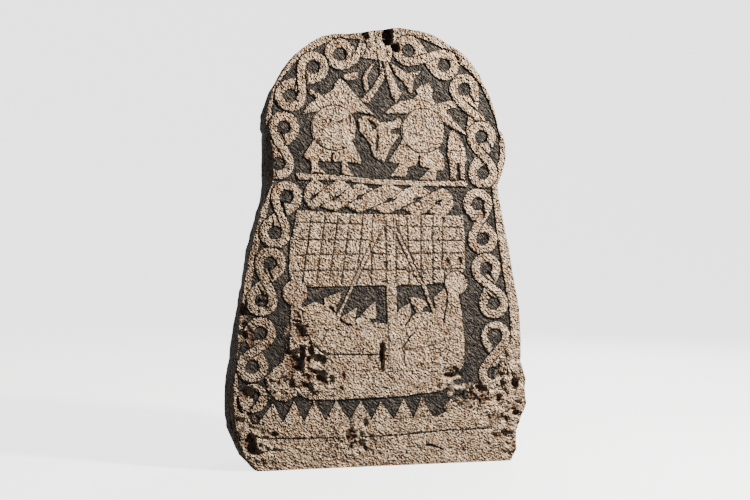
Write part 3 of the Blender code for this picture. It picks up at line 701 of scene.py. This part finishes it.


# %% [markdown]
# ## The stone's colour
# The stone is a pinkish buff limestone with cream flecks and brown pits. Charcoal paint fills the ground and
# the thin lines. It is worn thin in places, so that the stone's grain shows through. Breaks have pale
# patches, partly fresh stone and partly painted highlight on the crags, and brown patches. An image would be
# simpler, but it has one size and one front, and a formula has every size and goes round the corner.

# %% Palette
ROSE = (0.28, 0.155, 0.086, 1)
BUFF = (0.41, 0.262, 0.15, 1)
RUST = (0.36, 0.175, 0.085, 1)
DRAB = (0.24, 0.185, 0.13, 1)
OCHRE = (0.38, 0.20, 0.085, 1)
# pale and cream: the stone's flecks, and painted highlight on the crests of the grain
PALE_AND_HIGHLIGHT = (0.62, 0.45, 0.29, 1)
CREAM_AND_HIGHLIGHT = (0.9, 0.77, 0.58, 1)
FRESH_AND_HIGHLIGHT = (0.85, 0.63, 0.42, 1)
# brown for hollow floors and breaks, in hollows partly painted shade
BARK_AND_SHADE = (0.15, 0.078, 0.045, 1)
# dark brown for dirt, and painted shade in troughs, holes and pits
DIRT_AND_SHADE = (0.055, 0.029, 0.018, 1)
# near-black umber, painted shade for the left flank and the dark zones
UMBER_SHADE = (0.013, 0.0085, 0.0065, 1)
CHARCOAL = (0.015, 0.0135, 0.012, 1)
SOOT = (0.068, 0.055, 0.044, 1)
ASH = (0.11, 0.082, 0.06, 1)
print("the stone runs from", ROSE[:3], "to", CREAM_AND_HIGHLIGHT[:3])

# %% [markdown]
# Every pattern reads the same place on the stone, in metres. The mason's blows ran aslant down the face, and
# so did the brush, so two copies of the place are turned and drawn out. The numbers that travel with the
# vertices come in beside them. Scales count how many grains fit in a metre.

# %% Places, marks and patterns
SLANT, SWEEP = math.radians(-45), math.radians(-48)
stone = Shader("weathered_limestone")
place = stone.node("TexCoord", {}, {}, output=3)
mark = {name: stone.node("Attribute", {"attribute_name": name}, {}, output=2) for name in marks}


def drawn_out(turn, length):
    sockets = {"Vector": place, "Rotation": (0, turn, 0), "Scale": (1, 1, length)}
    return stone.node("Mapping", {"vector_type": "TEXTURE"}, sockets)


def grain(scale, detail=3.0, rough=0.6, place=place):
    sockets = {"Vector": place, "Scale": scale, "Detail": detail, "Roughness": rough}
    return stone.node("TexNoise", {}, sockets)


def cells(scale, output=0):
    """Distance to the nearest of many scattered points, or with output 1 a value that each cell has."""
    return stone.node("TexVoronoi", {}, {"Vector": place, "Scale": scale}, output)


slanting = drawn_out(SLANT, 1.6)
brushed = drawn_out(SWEEP, 5)
clouds = grain(9, 4)
lumps = grain(105, 0, place=slanting)
flecks = grain(230, 0, place=slanting)
grit = grain(300, 0, place=slanting)
holes = cells(140)
pocks = (1 - holes.ramp(0.1, 0.42)) * lumps.ramp(0.44, 0.56)
crystals = cells(330, output=1)
pinholes = (1 - cells(64).ramp(0.1, 0.27)) * grain(34, 1).ramp(0.4, 0.55)
print(len(stone.tree.nodes), "nodes so far")

# %% [markdown]
# Bare stone is built up as a painter would, from the broad to the fine: large clouds of colour, then patches
# a hand wide, then flecks and crystals, and dark brown in every small hole. The flecks and the grit also
# raise the bump, so their colour is painted highlight on its crests and painted shade in its troughs and
# holes, laid over the stone's own cream and brown grain. Each line lays one more colour over the last, where
# its mask says.

# %% Bare stone
colour = stone.mix(clouds.ramp(0.38, 0.62), ROSE, BUFF)
colour = stone.mix(grain(7, 3).ramp(0.5, 0.62) * 0.45, colour, RUST)
colour = stone.mix(grain(12, 3).ramp(0.54, 0.66) * 0.5, colour, DRAB)
colour = stone.mix(grain(24, 3).ramp(0.54, 0.7) * 0.5, colour, OCHRE)
colour = stone.mix(grain(15, 4).ramp(0.54, 0.66) * 0.6, colour, PALE_AND_HIGHLIGHT)
# painted highlight: the flecks and the grit raise the bump, and their crests turn pale and cream
colour = stone.mix(flecks.ramp(0.48, 0.68) * 0.7, colour, PALE_AND_HIGHLIGHT)
colour = stone.mix(grit.ramp(0.56, 0.68) * 0.35, colour, CREAM_AND_HIGHLIGHT)
colour = stone.mix(crystals.ramp(0.62, 0.8) * 0.55, colour, CREAM_AND_HIGHLIGHT)
colour = stone.mix((1 - crystals.ramp(0.2, 0.4)) * 0.5, colour, DIRT_AND_SHADE)
# painted shade: troughs of the flecks and the small holes, which the bump sinks, turn dark brown
colour = stone.mix((1 - flecks.ramp(0.3, 0.46)) * 0.5, colour, DIRT_AND_SHADE)
colour = stone.mix(pocks * 0.9, colour, DIRT_AND_SHADE)
colour = stone.mix(pinholes * 0.75, colour, DIRT_AND_SHADE)
print(len(stone.tree.nodes), "nodes with the bare stone")

# %% Breaks and hollows
# painted highlight: pale patches on broken stone stand partly for fresh stone, partly for light on the crags
fresh_and_lit = mark["broken"].ramp(0.3, 0.8) * grain(40, 4).ramp(0.42, 0.55)
colour = stone.mix(fresh_and_lit * 0.55, colour, FRESH_AND_HIGHLIGHT)
# brown patches on broken stone
brown_patches = mark["broken"].ramp(0.3, 0.8) * (1 - grain(30, 4).ramp(0.38, 0.5))
colour = stone.mix(brown_patches * 0.5, colour, BARK_AND_SHADE)
# hollow floors and pits turn dark brown: partly the stone's own brown, partly painted shade
colour = stone.mix(mark["hollow"].ramp(0.3, 0.75) * 0.92, colour, BARK_AND_SHADE)
print(len(stone.tree.nodes), "nodes with the breaks")

# %% [markdown]
# The paint lies over all that. It is streaked along the brush and thin where the weather reached it. It is
# blackest along the contours at the foot of each wall, partly pooled paint and partly painted shade. Last
# comes the near-black of the dark zones and the left flank, mostly painted shade.

# %% Paint and weathering
uncut = 1 - mark["contour"]
worn_thin = 1 - grain(28, 5, 0.7).ramp(0.58, 0.78) * 0.4 * uncut
streaks = grain(300, 1, place=brushed)
# painted shade as well as pooled paint: the coat turns charcoal near the foot of each wall
coat = stone.mix(streaks.ramp(0.42, 0.66) * (1 - mark["contour"] * 0.8), CHARCOAL, SOOT)
coat = stone.mix(grain(150, 2, place=brushed).ramp(0.56, 0.7) * 0.5 * uncut, coat, ASH)
colour = stone.mix(mark["paint"].ramp(0.25, 0.8) * worn_thin, colour, coat)
# painted shade: the dark zones and the left flank go over to near-black umber
colour = stone.mix(mark["dark"], colour, UMBER_SHADE)
stone.feed(stone.surface.inputs["Base Color"], colour)
stone.feed(stone.surface.inputs["Roughness"], 0.82 + 0.13 * flecks)
stone.surface.inputs["Specular IOR Level"].default_value = 0.08
print(len(stone.tree.nodes), "nodes with the paint")

# %% [markdown]
# The finest grain is too small for the mesh, so a Bump node tilts the shading instead. Paint smooths it a
# little, and broken stone is coarser.

# %% Grain of the surface
BUMP_DISTANCE = 70 * MM
height = 0.15 * lumps + 0.5 * flecks + 0.6 * grit + 0.6 * holes.ramp(0.1, 0.5)
height = height * (0.75 + 0.4 * grain(18, 2).ramp(0.38, 0.62)) - 0.7 * pinholes
height = height * (1 - 0.6 * mark["paint"]) + 1.3 * mark["broken"] * grain(75, 1)
height = height + 0.35 * mark["paint"] * streaks
bump = stone.node("Bump", {}, {"Strength": 1.0, "Distance": BUMP_DISTANCE, "Height": height})
stone.feed(stone.surface.inputs["Normal"], bump)
fewer.materials.clear()
fewer.materials.append(stone.material)
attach(skin, "root")
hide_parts(NODE)
print(len(stone.tree.nodes), "nodes in all")

# %% [markdown]
# ## A pale studio
# The stone stands in the middle of a wide, pale bowl: a floor that curves up into a round wall, so that every
# side has the same plain background. The bowl glows a little and lends the stone no light, so the lamps alone
# shape it. One soft lamp at the right rakes across the face and brings out the carving, a broad, weak one
# keeps the shadows open, and one behind shows the back.

# %% Floor and backdrop
BOWL_RADIUS, BOWL_HEIGHT, BOWL_CURVE = 8, 7, 3
BOWL_GLOW = 2.6
bowl = bmesh.new()
ends = [bowl.verts.new(place) for place in ((0, 0, 0), (BOWL_RADIUS, 0, 0), (BOWL_RADIUS, 0, BOWL_HEIGHT))]
outline = [bowl.edges.new(pair) for pair in zip(ends, ends[1:])]
bmesh.ops.spin(
    bowl, geom=ends + outline, cent=(0, 0, 0), axis=(0, 0, 1), angle=math.tau, steps=96, use_merge=True
)
bmesh.ops.remove_doubles(bowl, verts=bowl.verts, dist=LEVEL)
ring = [
    edge for edge in bowl.edges
    if all(vert.co.z < LEVEL and vert.co.length > BOWL_RADIUS - LEVEL for vert in edge.verts)
]
bmesh.ops.bevel(bowl, geom=ring, offset=BOWL_CURVE, affect="EDGES", segments=16, profile=0.5, material=-1)
bowl_mesh = bpy.data.meshes.new("studio_bowl")
bowl.to_mesh(bowl_mesh)
bowl.free()
bowl_mesh.polygons.foreach_set("use_smooth", [True] * len(bowl_mesh.polygons))
floor = bpy.data.objects.new("studio_bowl", bowl_mesh)
floor.visible_diffuse = False
bpy.context.scene.collection.objects.link(floor)
paper = Shader("pale_paper")
paper.surface.inputs["Base Color"].default_value = (0.3, 0.3, 0.297, 1)
paper.surface.inputs["Roughness"].default_value = 0.9
paper.surface.inputs["Emission Color"].default_value = (1, 1, 0.995, 1)
paper.surface.inputs["Emission Strength"].default_value = BOWL_GLOW
bowl_mesh.materials.append(paper.material)
print("bowl of", len(bowl_mesh.polygons), "faces")

# %% [markdown]
# The key lamp stands near the plane of the face, so that a low relief of 3 mm still throws shadows, and high
# at the right. The nearer it is, the faster its light fades toward the foot.

# %% Lamps
def lamp(name, place, size, power, aim=(0, 0, 0.65), colour=(1, 1, 1)):
    """A square area lamp of this size in metres and power in watts, turned to its aim."""
    data = bpy.data.lights.new(name, "AREA")
    data.size, data.energy, data.color = size, power, colour
    made = bpy.data.objects.new(name, data)
    made.location = place
    made.rotation_euler = (Vector(aim) - Vector(place)).to_track_quat("-Z", "Y").to_euler()
    made.visible_camera = False
    bpy.context.scene.collection.objects.link(made)


RAKE = math.radians(26)
CLIMB = math.radians(43)
KEY_DISTANCE = 2.5
MIDDLE = Vector((0, FRONT, 0.62))
key_way = Vector((math.cos(RAKE) * math.cos(CLIMB), -math.sin(RAKE), math.cos(RAKE) * math.sin(CLIMB)))
lamp("raking_lamp", MIDDLE + KEY_DISTANCE * key_way, 0.22, 475, aim=MIDDLE, colour=(1, 0.965, 0.91))
lamp("fill_lamp", (0.6, -3.4, 1.5), 2.6, 3, colour=(0.93, 0.96, 1))
lamp("back_lamp", (2.2, 2.6, 2.2), 1.2, 250, aim=MIDDLE)
world = bpy.data.worlds.new("studio")
bpy.context.scene.world = world
world.use_nodes = True
world.node_tree.nodes["Background"].inputs["Color"].default_value = (1, 1, 1, 1)
world.node_tree.nodes["Background"].inputs["Strength"].default_value = 0.11
